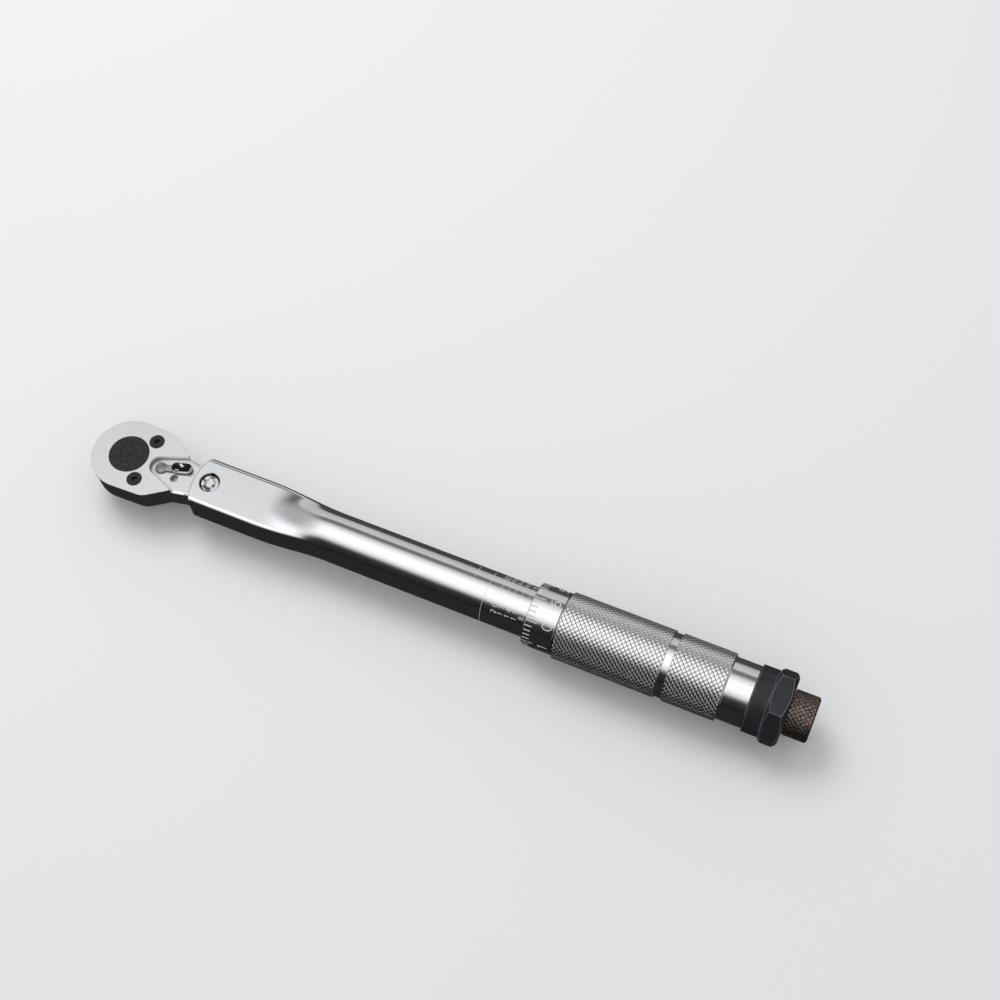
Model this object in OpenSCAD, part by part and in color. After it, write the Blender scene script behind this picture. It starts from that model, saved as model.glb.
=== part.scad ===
// Click torque wrench with a 1/4 inch square drive.
// +X runs from the head to the lock knob along the tube's axis, and +Z points out of the
// cover plate. The origin is where the drive's axis crosses the tube's axis.

/* [Head] */
// Radius of the round end of the head
head_r = 13.7; // [13:0.1:14.5]
// Height of the cover plate's top above the tube's axis
plate_top_z = 4.1; // [4:0.1:5]
// Thickness of the cover plate
plate_t = 1.4; // [1.2:0.1:1.5]
// Depth of the head's underside below the tube's axis
head_bottom = 5.9; // [5.4:0.1:6.5]
// Half the width of the neck where it meets the tube
neck_half_w = 6.5; // [6.2:0.1:6.8]

/* [Ratchet] */
// Number of teeth on the drive gear
gear_teeth = 36; // [24, 36, 48]
// Radius of the drive gear at its tooth tips
gear_tip_r = 8.6; // [8.4:0.1:8.7]
// Depth of the gear's teeth
tooth_depth = 0.9; // [0.7:0.1:1]
// Radius of the gear's end disc, flush with the cover plate
disc_r = 7.42; // [7:0.01:7.6]
// Side of the square drive (1/4 inch)
square_side = 6.35; // [6.35:6.35]
// Length of the square drive
square_len = 7.6; // [7:0.1:8]
// Swing of the reversing lever to either side
lever_swing = 17; // [14:1:20]

/* [Tube] */
// Outer radius of the round part of the tube
tube_r = 9.08; // [9.08:0.01:9.1]
// Wall of the tube
tube_wall = 1.58; // [1.5:0.01:1.6]
// Half the width of the tube where it is pressed flat
flat_half_w = 9.8; // [9.5:0.1:10]
// Half the height of the tube where it is pressed flat
flat_half_h = 6.1; // [6:0.1:6.5]
// Radius of the pivot pin
pivot_r = 3.7; // [3.5:0.1:3.8]

/* [Handle] */
// Radius of the scale ring at the front of the handle
ring_r = 11.23; // [11:0.01:11.5]
// Radius of the knurled grip
grip_r = 12; // [11.8:0.1:12.5]
// Width across the flats of the end nut's hexagon
hex_flats = 24; // [23:0.5:25]
// Radius of the lock knob
knob_r = 8; // [7.5:0.1:9]

/* [Hidden] */
$fn = 64;

eps = 0.01;           // overlap that joins two shapes, and clearance of a seated part
run = 0.06;           // radial clearance of a running fit
far = 60;             // longer than any cut

// places along the wrench
notch_x = 13;         // centre of the cover plate's notch
notch_r = 3.9;        // radius of the notch's nose
notch_end = [21.2, 6.9];  // outer corner of the notch
lever_x = 13.2;       // axis of the reversing lever
pawl_x = 19;          // axis that the pawl swings about
pivot_x = 34.1;       // axis of the pivot pin
tube_x = 27.9;        // front end of the tube
bow_r = 19.3;         // radius of the bow of its front edge
shank_step_x = 29.6;  // where the head's shank reaches its full height
flat_x = 56;          // where the flat part of the tube ends
round_x = 84;         // where the round part of the tube begins
shank_x = 79;         // rear end of the head's shank
block_side = 5.4;     // side of the tilt block
block_x = shank_x + 0.05;
plunger_x = block_x + block_side + 0.05;
spring_x = plunger_x + 20;
seat_x = spring_x + 43.5;
ball_x = seat_x + 8;
screw_x = ball_x + 1;
nut_x = 186;          // front of the tube nut
tube_end = 205;       // rear end of the tube
ring_x = 160.4;       // front edge of the scale ring
groove_x = 171.2;     // groove between the scale ring and the grip
grip_x = 171.9;       // start of the knurled grip
band_x = [208.6, 211.5];  // smooth band in the grip
cuff_x = 230.2;       // start of the smooth rear end
sleeve_end = 239.5;   // rear end of the handle sleeve
hex_x = 245.2;        // front of the hexagon
hex_end = 252;        // rear of the hexagon
knob_x = 252.15;      // front of the lock knob
knob_end = 260.8;     // rear of the lock knob

// heights in the head
seat_z = plate_top_z - plate_t;   // face under the cover plate
recess_z = 2.2;                   // floor of the recess round the lever, and top of the neck
floor_z = -3.05;                  // floor of the gear's cavity
pocket_z = 1.2;                   // ceiling of the pawl's pocket
cavity_r = gear_tip_r + 0.2;
journal_r = 6.2;                  // lower bearing of the drive gear
collar_z = -head_bottom - 0.7;    // shoulder that a socket stops at
drive_end = collar_z - square_len;

// screws of the cover plate
screw_at = [7.03, 8.38];
screw_head_r = 2.78;
screw_rim = 0.4;                  // straight edge of the screw's head
screw_cone = 1.1;                 // depth of its countersink
screw_shank_r = 1.25;
screw_end_z = -1.5;

// pawl and lever
pawl_half_angle = 35;             // half the angle that the pawl spans round the gear
pawl_back_r = 11.4;
pawl_swing = 4;                   // swing of the pawl to either side
pawl_hollow_r = 3.35;             // hollow in the pawl's back for the lever's drum
drum_r = 2.2;
drum_bottom = -2.6;
arm_z = recess_z + 0.1;
plunger_bore_r = 0.9;
plunger_z = -0.5;
plunger_reach = 3.3;              // from the lever's axis to the plunger's tip

// inside the tube
bore_r = tube_r - tube_wall;
shank_half_h = flat_half_h - tube_wall - 0.2;
slide_r = bore_r - 0.08;
screw_r = 5;
rod_r = 2;
lock_x = 190;                     // where the lock balls sit
lock_ball_r = 1.5;
lock_ball_at = 3.45;
spigot_r = 4.4;                   // lock knob's spigot
ring_groove_x = [244.3, 245.3];
spigot_x = 223.9;                 // where the end nut's spigot begins, inside the sleeve

// square drive's ball
socket_ball_r = 1.2;
socket_ball_z = drive_end + 3.7;
socket_ball_out = 0.5;

// turns its children so that their +Z axis lies along the wrench, from x on
module along(x) {
    translate([x, 0, 0])
        rotate([0, 90, 0])
            children();
}

// turns its children about a vertical axis on the centre line
module turned_about(x, angle) {
    translate([x, 0, 0])
        rotate(angle)
            translate([-x, 0, 0])
                children();
}

// a round bar or hole along the wrench, from x1 to x2
module bar(x1, x2, r) {
    along(x1)
        cylinder(h = x2 - x1, r = r);
}

// gear outline: symmetric teeth with flat tips and roots, a gap on the +X axis
function gear_points(tip_r, root_r) = [
    for (i = [0 : gear_teeth - 1])
        let (pitch = 360 / gear_teeth)
            for (p = [[0.16, root_r], [0.38, tip_r], [0.62, tip_r], [0.84, root_r]])
                p[1] * [cos((i + p[0]) * pitch), sin((i + p[0]) * pitch)]
];

// a coil of round wire along +Z with one closed turn at each end
module coil(mean_r, wire_r, height, turns, sides = 8, steps = 20) {
    last = turns * steps;
    closed = 2 * wire_r;
    open = (height - 4 * wire_r - closed) / (turns - 2);
    function rise(t) =
        t < 1 ? t * closed :
        t > turns - 1 ? closed + (turns - 2) * open + (t - turns + 1) * closed :
        closed + (t - 1) * open;
    points = [
        for (i = [0 : last])
            for (j = [0 : sides - 1])
                let (
                    spin = i * 360 / steps,
                    side = j * 360 / sides,
                    r = mean_r + wire_r * cos(side)
                )
                    [r * cos(spin), r * sin(spin), wire_r + rise(i / steps) + wire_r * sin(side)]
    ];
    walls = [
        for (i = [0 : last - 1])
            for (j = [0 : sides - 1])
                let (k = (j + 1) % sides, a = i * sides, b = a + sides)
                    each [[a + j, b + j, b + k], [a + j, b + k, a + k]]
    ];
    start = [[for (j = [0 : sides - 1]) j]];
    end = [[for (j = [sides - 1 : -1 : 0]) last * sides + j]];
    polyhedron(points, concat(start, walls, end));
}

// outline of the head and of the cover plate, before the notch
module pear(inset = 0) {
    hull() {
        circle(r = head_r - inset);
        for (s = [-1, 1]) {
            translate([10.6, s * 7])
                circle(r = 6.4 - inset, $fn = 48);
            translate([19.8, s * 6.9])
                circle(r = 1.2 - inset, $fn = 24);
        }
    }
}

// the notch's outline: a round nose and two sides that spread towards the neck
module notch(inset = 0) {
    r = notch_r - inset;
    reach = notch_end - [notch_x, 0];
    spread = atan2(reach[1], reach[0]) + acos(notch_r / norm(reach));
    nose = r * [cos(spread), sin(spread)];
    side = [cos(spread), sin(spread)] * -inset;
    out = notch_end + 0.6 * [1, 1] + side;
    translate([notch_x, 0])
        circle(r = r);
    polygon([
        [notch_x + nose[0], -nose[1]],
        [out[0], -out[1]],
        out,
        [notch_x + nose[0], nose[1]]
    ]);
}

// a rounded oblong on the wrench's cross-section: x is height, y is width
module oblong(half_h, half_w, r) {
    square([2 * half_h, 2 * (half_w - r)], center = true);
    square([2 * (half_h - r), 2 * half_w], center = true);
    for (x = [-1, 1])
        for (y = [-1, 1])
            translate([x * (half_h - r), y * (half_w - r)])
                circle(r = r);
}

// the tube's outer shape, or with inset its hollow: a flat part, a blend and a round part.
// The blend starts and ends a small step inside its neighbours.
module tube_form(inset, x1, x2) {
    corner = 2.2 - inset * 0.6;
    lap = 0.5;
    slice = 0.02;
    under = inset + 0.12;
    along(x1)
        linear_extrude(flat_x - x1)
            oblong(flat_half_h - inset, flat_half_w - inset, corner);
    hull() {
        along(flat_x - lap)
            linear_extrude(slice)
                oblong(flat_half_h - under, flat_half_w - under, corner);
        along(round_x + lap)
            cylinder(h = slice, r = tube_r - under);
    }
    bar(round_x, x2, tube_r - inset);
}

// the neck between head and tube: rounded edges, and a rear end that follows the tube's bow
module neck() {
    round_r = 1.4;
    difference() {
        hull()
            for (p = [[-head_bottom, 1], [0.9 - head_bottom, 0], [recess_z - 1.3, 0],
                      [recess_z - 0.4, 0.4], [recess_z, 1.35]])
                translate([0, 0, p[0] - (p[0] > 0 ? eps : 0)])
                    linear_extrude(eps)
                        for (s = [-1, 1]) {
                            translate([19.9, s * 6.6])
                                circle(r = round_r - p[1], $fn = 24);
                            translate([29, s * (neck_half_w - round_r - 0.2)])
                                circle(r = round_r - p[1], $fn = 24);
                        }
        translate([tube_x + bow_r, 0, -far / 2])
            cylinder(h = far, r = bow_r + 0.35);
    }
}

module ratchet_head() {
    shank_w = 6.3;
    color("silver")
    difference() {
        union() {
            // round body, with its lower edge drawn in
            translate([0, 0, 0.8 - head_bottom])
                linear_extrude(seat_z + head_bottom - 0.8)
                    pear();
            translate([0, 0, -head_bottom])
                linear_extrude(0.8 + eps)
                    pear(0.7);
            neck();
            // shank, lower where it passes under the tube's front edge
            translate([0, 0, -shank_half_h])
                linear_extrude(2 * shank_half_h)
                    polygon([
                        [shank_step_x, shank_w], [42, shank_w], [48, 3.4], [shank_x, 3.4],
                        [shank_x, -3.4], [48, -3.4], [42, -shank_w], [shank_step_x, -shank_w]
                    ]);
            translate([tube_x - 2, -shank_w, -shank_half_h])
                cube([shank_step_x - tube_x + 2 + eps, 2 * shank_w, shank_half_h + recess_z - 0.1]);
        }
        // recess round the lever
        translate([0, 0, recess_z])
            linear_extrude(far)
                notch();
        // cavity and lower bearing of the drive gear
        translate([0, 0, floor_z])
            cylinder(h = far, r = cavity_r);
        translate([0, 0, -far / 2])
            cylinder(h = far / 2, r = journal_r + run);
        // pocket of the pawl
        translate([0, 0, floor_z])
            linear_extrude(pocket_z - floor_z)
                intersection() {
                    circle(r = pawl_back_r + 0.9);
                    polygon([
                        [0, 0],
                        far * [cos(pawl_half_angle + 3), sin(pawl_half_angle + 3)],
                        far * [cos(pawl_half_angle + 3), -sin(pawl_half_angle + 3)]
                    ]);
                }
        // bore of the lever's drum
        translate([lever_x, 0, drum_bottom - 0.2])
            cylinder(h = far, r = drum_r + run);
        // the two detent dimples of the lever
        for (s = [-1, 1])
            turned_about(lever_x, s * lever_swing)
                translate([lever_x + 6.6, 0, recess_z - 1.8])
                    cylinder(h = 3, r = 1.5);
        // tapped holes of the cover screws
        for (s = [-1, 1])
            translate([screw_at[0], s * screw_at[1], screw_end_z - 0.5])
                cylinder(h = far, r = screw_shank_r + 0.03);
        for (s = [-1, 1])
            translate([screw_at[0], s * screw_at[1], 0])
                screw_head(0.04);
        // bore of the pivot pin
        translate([pivot_x, 0, -far / 2])
            cylinder(h = far, r = pivot_r + run);
    }
}

// a countersunk head at its own height, or with play its seat
module screw_head(play) {
    top = plate_top_z - 0.05;
    r = screw_head_r + play;
    translate([0, 0, top - screw_rim])
        cylinder(h = screw_rim + play * 4, r = r);
    translate([0, 0, top - screw_rim - screw_cone])
        cylinder(h = screw_cone, r1 = screw_shank_r + play, r2 = r);
}

module cover_plate() {
    color("gainsboro")
    difference() {
        translate([0, 0, seat_z + eps])
            linear_extrude(plate_t - eps)
                difference() {
                    pear(-0.25);
                    notch();
                }
        translate([0, 0, seat_z - 1])
            cylinder(h = 2 * plate_t + 2, r = disc_r + run);
        for (s = [-1, 1])
            translate([screw_at[0], s * screw_at[1], 0])
                screw_head(0.04);
    }
}

module cover_screws() {
    lobe_r = 0.33;
    color("dimgray")
    for (s = [-1, 1])
        translate([screw_at[0], s * screw_at[1], 0])
            difference() {
                union() {
                    screw_head(0);
                    translate([0, 0, screw_end_z])
                        cylinder(h = 2 - screw_end_z, r = screw_shank_r);
                }
                // six-lobed driving recess
                translate([0, 0, plate_top_z - 1])
                    linear_extrude(2)
                        union() {
                            circle(r = 0.85);
                            for (a = [0 : 60 : 300])
                                rotate(a)
                                    translate([0.9, 0])
                                        circle(r = lobe_r);
                        }
            }
}

module drive_gear() {
    top = seat_z - 0.1;
    tip = 0.6;
    color("dimgray")
    difference() {
        union() {
            translate([0, 0, floor_z + 0.05])
                linear_extrude(top - floor_z - 0.05)
                    polygon(gear_points(gear_tip_r, gear_tip_r - tooth_depth));
            cylinder(h = plate_top_z, r = disc_r);
            translate([0, 0, collar_z])
                cylinder(h = -collar_z, r = journal_r);
            // square drive, its end drawn in
            intersection() {
                translate([-square_side / 2, -square_side / 2, drive_end])
                    cube([square_side, square_side, square_len + 1]);
                hull() {
                    translate([0, 0, drive_end - eps])
                        cylinder(h = eps, r = square_side * 0.62);
                    translate([0, 0, drive_end + tip])
                        cylinder(h = square_len + 1, r = square_side * 0.72);
                }
            }
        }
        // blind bore of the socket ball
        translate([-1, 0, socket_ball_z])
            rotate([0, 90, 0])
                cylinder(h = square_side, r = socket_ball_r + 0.05);
    }
}

module socket_ball() {
    color("lightsteelblue")
    translate([square_side / 2 + socket_ball_out - socket_ball_r, 0, socket_ball_z])
        sphere(r = socket_ball_r, $fn = 32);
}

module socket_ball_spring() {
    start = -0.98;
    end = square_side / 2 + socket_ball_out - 2 * socket_ball_r;
    color("gray")
    translate([start, 0, socket_ball_z])
        rotate([0, 90, 0])
            coil(0.75, 0.16, end - start, 5, 6, 12);
}

module reversing_lever() {
    tab_at = 7.9;
    tab_half = 2;
    tab_r = 1.75;
    color("silver")
    turned_about(lever_x, lever_swing)
        difference() {
            translate([lever_x, 0, 0])
                union() {
                    translate([0, 0, drum_bottom])
                        cylinder(h = arm_z - drum_bottom + 0.9, r = drum_r);
                    translate([0, -1.3, arm_z])
                        cube([tab_at - tab_half, 2.6, 0.9]);
                    translate([0, 0, arm_z])
                        hull()
                            for (s = [-1, 1])
                                translate([tab_at + s * tab_half, 0, 0]) {
                                    cylinder(h = 2, r = tab_r, $fn = 32);
                                    cylinder(h = 2.5, r = tab_r - 0.5, $fn = 32);
                                }
                }
            // bore of the selector plunger
            translate([lever_x - drum_r - 1, 0, plunger_z])
                rotate([0, 90, 0])
                    cylinder(h = drum_r + 2.4, r = plunger_bore_r);
        }
}

module selector_plunger() {
    r = plunger_bore_r - 0.05;
    length = 2.4;
    color("goldenrod")
    turned_about(lever_x, lever_swing)
        translate([lever_x - plunger_reach, 0, plunger_z])
            rotate([0, 90, 0])
                union() {
                    translate([0, 0, r])
                        cylinder(h = length - r, r = r);
                    translate([0, 0, r])
                        sphere(r = r, $fn = 32);
                }
}

module selector_spring() {
    start = -plunger_reach + 2.4;
    color("gray")
    turned_about(lever_x, lever_swing)
        translate([lever_x + start, 0, plunger_z])
            rotate([0, 90, 0])
                coil(0.6, 0.14, 1.38 - start, 5, 6, 12);
}

// the gear's side towards the pawl, with play all round
module gear_cutter() {
    pitch = 360 / gear_teeth;
    tip_r = gear_tip_r + 0.07;
    root_r = gear_tip_r - tooth_depth + 0.07;
    polygon([
        [0, 0],
        for (i = [-5 : 4])
            for (p = [[0.14, root_r], [0.36, tip_r], [0.64, tip_r], [0.86, root_r]])
                p[1] * [cos((i + p[0]) * pitch), sin((i + p[0]) * pitch)]
    ]);
    circle(r = gear_tip_r - tooth_depth + 0.1);
}

module pawl() {
    bottom = floor_z + 0.1;
    height = pocket_z - 0.15 - bottom;
    edge = pawl_half_angle;
    color("slategray")
    translate([0, 0, bottom])
        linear_extrude(height)
            difference() {
                turned_about(pawl_x, pawl_swing)
                    difference() {
                        intersection() {
                            circle(r = pawl_back_r);
                            polygon([
                                [0, 0],
                                20 * [cos(edge), sin(edge)],
                                20 * [cos(edge), -sin(edge)]
                            ]);
                        }
                        translate([lever_x, 0])
                            circle(r = pawl_hollow_r);
                        // the middle stays clear of the teeth
                        intersection() {
                            circle(r = gear_tip_r + 0.3);
                            polygon([[0, 0], 20 * [cos(14), sin(14)], 20 * [cos(14), -sin(14)]]);
                        }
                    }
                // the gear's teeth as the pawl meets them all through its swing
                for (a = [0 : 0.5 : 2 * pawl_swing])
                    turned_about(pawl_x, a)
                        gear_cutter();
            }
}

module tube() {
    color("silver")
    difference() {
        tube_form(0, tube_x, tube_end);
        tube_form(tube_wall, tube_x - 1, tube_end + 1);
        // the front edge bows towards the head
        difference() {
            translate([tube_x - 1, -far / 2, -far / 2])
                cube([8, far, far]);
            translate([tube_x + bow_r, 0, -far / 2])
                cylinder(h = far, r = bow_r, $fn = 96);
        }
        translate([pivot_x, 0, -far / 2])
            cylinder(h = far, r = pivot_r + eps);
        nut_pin_places()
            cylinder(h = far, r = 1 + eps);
    }
}

module pivot_pin() {
    half = flat_half_h - 0.9;
    rim = 0.5;
    color("lightgray")
    translate([pivot_x, 0, 0])
        difference() {
            union() {
                translate([0, 0, rim - half])
                    cylinder(h = 2 * (half - rim), r = pivot_r);
                for (s = [0, 1])
                    mirror([0, 0, s])
                        translate([0, 0, half - rim])
                            cylinder(h = rim, r1 = pivot_r, r2 = pivot_r - rim);
            }
            // dished ends
            for (s = [0, 1])
                mirror([0, 0, s])
                    translate([0, 0, half - 0.5])
                        cylinder(h = 1, r1 = 1.4, r2 = 3);
        }
}

module tilt_block() {
    color("steelblue")
    translate([block_x, -block_side / 2, -block_side / 2])
        cube(block_side);
}

module thrust_plunger() {
    color("steelblue")
    union() {
        bar(plunger_x, spring_x, slide_r);
        bar(spring_x - eps, spring_x + 4.5, 4.4);
    }
}

module main_spring() {
    color("dimgray")
    along(spring_x + 0.02)
        coil(5.9, 1.15, seat_x - spring_x - 0.04, 9.5);
}

module spring_seat() {
    color("steelblue")
    difference() {
        union() {
            bar(seat_x, seat_x + 7, slide_r);
            bar(seat_x - 4.5, seat_x + eps, 4.4);
        }
        translate([ball_x, 0, 0])
            sphere(r = 2.52, $fn = 48);
    }
}

module thrust_ball() {
    color("lightsteelblue")
    translate([ball_x, 0, 0])
        sphere(r = 2.5, $fn = 48);
}

// places its children on three spokes round the wrench's axis at x
module spokes(x, count) {
    for (i = [0 : count - 1])
        translate([x, 0, 0])
            rotate([i * 360 / count, 0, 0])
                children();
}

module adjusting_screw() {
    color("slategray")
    difference() {
        bar(screw_x, sleeve_end + 1, screw_r);
        bar(lock_x - 5, far + sleeve_end, rod_r + 0.05);
        translate([ball_x, 0, 0])
            sphere(r = 2.52, $fn = 48);
        spokes(lock_x, 3)
            cylinder(h = far, r = lock_ball_r + 0.05);
    }
}

module lock_balls() {
    color("lightsteelblue")
    spokes(lock_x, 3)
        translate([0, 0, lock_ball_at])
            sphere(r = lock_ball_r, $fn = 32);
}

// the four radial places of the tube nut's pins
module nut_pin_places() {
    for (a = [45 : 90 : 315])
        translate([tube_end - 5, 0, 0])
            rotate([a, 0, 0])
                translate([0, 0, 5.8])
                    children();
}

module tube_nut() {
    color("slategray")
    difference() {
        bar(nut_x, tube_end - 0.5, bore_r - eps);
        bar(nut_x - 1, tube_end + 1, screw_r + 0.05);
        nut_pin_places()
            cylinder(h = far, r = 1 + eps);
    }
}

module tube_nut_pins() {
    color("dimgray")
    nut_pin_places()
        cylinder(h = tube_r - 0.1 - 5.8, r = 1);
}

module handle_sleeve() {
    bevel = 0.4;
    groove_r = ring_r - 0.5;
    band_r = grip_r - 0.5;
    cuff_r = 10.97;
    inner_r = tube_r + 0.07;
    color("silver")
    rotate([0, 90, 0])
        rotate_extrude($fn = 96)
            polygon([
                [inner_r, ring_x], [ring_r - bevel, ring_x], [ring_r, ring_x + bevel],
                [ring_r, groove_x], [groove_r, groove_x + 0.1], [groove_r, grip_x - 0.1],
                [grip_r - bevel, grip_x], [grip_r, grip_x + bevel],
                [grip_r, band_x[0] - bevel], [band_r, band_x[0]],
                [band_r, band_x[1]], [grip_r, band_x[1] + bevel],
                [grip_r, cuff_x - bevel], [grip_r - bevel, cuff_x],
                [cuff_r, cuff_x], [cuff_r, sleeve_end - bevel], [cuff_r - bevel, sleeve_end],
                [8.92, sleeve_end], [8.92, spigot_x], [inner_r, spigot_x]
            ]);
}

module end_nut() {
    flange_r = 11.8;
    corner = hex_flats / 2 / cos(30);
    face_r = hex_flats / 2 - 0.6;
    wide_r = corner + 0.5;
    bevel = 1.6;
    turn = 2.6;
    color("darkslategray")
    difference() {
        union() {
            bar(spigot_x + 0.5, sleeve_end + 0.1, 8.9);
            bar(sleeve_end + 0.05, hex_x + 0.1, flange_r);
            intersection() {
                translate([hex_x, 0, 0])
                    rotate([turn, 0, 0])
                        rotate([90, 0, 90])
                            cylinder(h = hex_end - hex_x, r = corner, $fn = 6);
                // both faces of the hexagon are bevelled
                hull() {
                    bar(hex_x - eps, hex_end + eps, face_r);
                    bar(hex_x + bevel, hex_end - bevel, wide_r);
                }
            }
        }
        bar(spigot_x, sleeve_end + 1.5, screw_r + eps);
        bar(sleeve_end + 1.4, far + hex_end, spigot_r + 0.07);
        bar(ring_groove_x[0], ring_groove_x[1], spigot_r + 0.8);
    }
}

module lock_knob() {
    bevel = 0.9;
    color("saddlebrown")
    difference() {
        union() {
            bar(sleeve_end + 3, knob_x + eps, spigot_r);
            rotate([0, 90, 0])
                rotate_extrude($fn = 96)
                    polygon([
                        [0, knob_x], [knob_r - 0.3, knob_x], [knob_r, knob_x + 0.3],
                        [knob_r, knob_end - bevel], [knob_r - bevel, knob_end], [0, knob_end]
                    ]);
        }
        bar(sleeve_end + 2, knob_end - 2, rod_r + 0.05);
        difference() {
            bar(ring_groove_x[0], ring_groove_x[1], far);
            bar(ring_groove_x[0] - 1, ring_groove_x[1] + 1, spigot_r - 0.6);
        }
    }
}

module knob_ring() {
    play = 0.08;
    color("gray")
    difference() {
        bar(ring_groove_x[0] + play, ring_groove_x[1] - play, spigot_r + 0.75);
        bar(ring_groove_x[0], ring_groove_x[1], spigot_r - 0.54);
    }
}

module lock_rod() {
    tip_r = 0.7;
    slope = tan(20);
    seat_r = 1.468;       // the cone's radius beside the lock balls, when unlocked
    cone_x = lock_x - (seat_r - tip_r) / slope;
    full_x = lock_x + (rod_r - seat_r) / slope;
    color("lightgray")
    union() {
        along(cone_x)
            cylinder(h = full_x - cone_x, r1 = tip_r, r2 = rod_r);
        bar(full_x - eps, knob_end - 3, rod_r);
    }
}

ratchet_head();
cover_plate();
cover_screws();
drive_gear();
socket_ball();
socket_ball_spring();
reversing_lever();
selector_plunger();
selector_spring();
pawl();
tube();
pivot_pin();
tilt_block();
thrust_plunger();
main_spring();
spring_seat();
thrust_ball();
adjusting_screw();
tube_nut();
tube_nut_pins();
handle_sleeve();
end_nut();
lock_knob();
knob_ring();
lock_rod();
lock_balls();
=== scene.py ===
import math

import bmesh
import bpy
from mathutils import Matrix, Vector


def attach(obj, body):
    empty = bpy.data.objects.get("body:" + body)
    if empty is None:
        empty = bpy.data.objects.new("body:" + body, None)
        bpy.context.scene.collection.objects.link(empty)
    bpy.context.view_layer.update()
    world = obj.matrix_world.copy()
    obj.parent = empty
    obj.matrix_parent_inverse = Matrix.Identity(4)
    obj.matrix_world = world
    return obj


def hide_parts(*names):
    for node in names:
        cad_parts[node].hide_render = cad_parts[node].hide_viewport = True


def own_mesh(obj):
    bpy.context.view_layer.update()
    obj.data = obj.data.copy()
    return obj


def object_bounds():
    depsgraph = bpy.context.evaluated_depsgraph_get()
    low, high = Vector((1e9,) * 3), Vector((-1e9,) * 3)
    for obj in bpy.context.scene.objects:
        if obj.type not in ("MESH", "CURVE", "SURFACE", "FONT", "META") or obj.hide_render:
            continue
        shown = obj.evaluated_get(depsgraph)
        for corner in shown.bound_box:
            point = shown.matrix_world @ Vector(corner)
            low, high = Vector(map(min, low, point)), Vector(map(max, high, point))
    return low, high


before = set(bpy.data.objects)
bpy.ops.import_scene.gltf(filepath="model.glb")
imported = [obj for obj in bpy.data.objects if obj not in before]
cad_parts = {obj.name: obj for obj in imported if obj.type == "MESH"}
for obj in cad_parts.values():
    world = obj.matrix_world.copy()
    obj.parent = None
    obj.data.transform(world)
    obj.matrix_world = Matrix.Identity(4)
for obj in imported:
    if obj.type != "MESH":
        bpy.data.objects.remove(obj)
cad_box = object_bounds()
MM = 0.001
TAU = 2 * math.pi

# All sizes are in mm, and places along the wrench are measured from the drive's axis.
# The tube: bowed front edge, flat part, round part
TUBE_FRONT, TUBE_END, BOW_R = 27.9, 205.0, 19.3
FLAT_END, ROUND_START = 56.0, 84.0
FLAT_HALF_W, FLAT_HALF_H, FLAT_CORNER = 9.8, 6.1, 2.2
TUBE_R, TUBE_WALL = 9.08, 1.58
PIVOT_X, PIVOT_R = 34.1, 3.71
# The handle: scale ring, groove, knurled grip with a smooth band, cuff
RING_X, GROOVE_X, GRIP_X = 160.4, 171.2, 171.9
BAND_X, CUFF_X, SPIGOT_X, SLEEVE_END = (208.6, 211.5), 230.2, 223.9, 239.5
RING_R, GRIP_R, KNURL_ROOT, BAND_R, CUFF_R = 11.23, 12.0, 11.64, 11.42, 10.97
SLEEVE_BORE, SPIGOT_BORE = 9.15, 8.92
SCALE_PITCH = 2.52
# The lock knob
KNOB_X, KNOB_END, KNOB_R, KNOB_ROOT = 252.15, 260.8, 8.0, 7.58
STEM_R, RING_GROOVE, RING_GROOVE_R, ROD_HOLE_R = 4.4, (244.3, 245.3), 3.8, 2.05
# The reversing lever: its axis, and the angle it stands at
LEVER_X, LEVER_REST = 13.2, math.radians(17)
# The knurls: diamonds round the piece, and length of a diamond
GRIP_KNURL, KNOB_KNURL = (37, 1.79), (30, 1.9)
# A diamond's levels: share of its cell, and share of the knurl's height, foot first
DIAMOND = ((1.0, 0.0), (0.93, 0.45), (0.83, 0.90), (0.64, 1.0))
# The eight corners of a diamond: reach, along the wrench, round it
DIAMOND_CORNERS = ((1, 1, 0), (0.5, 1, 1), (1, 0, 1), (0.5, -1, 1),
                   (1, -1, 0), (0.5, -1, -1), (1, 0, -1), (0.5, 1, -1))


# ---------------------------------------------------------------- materials

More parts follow.
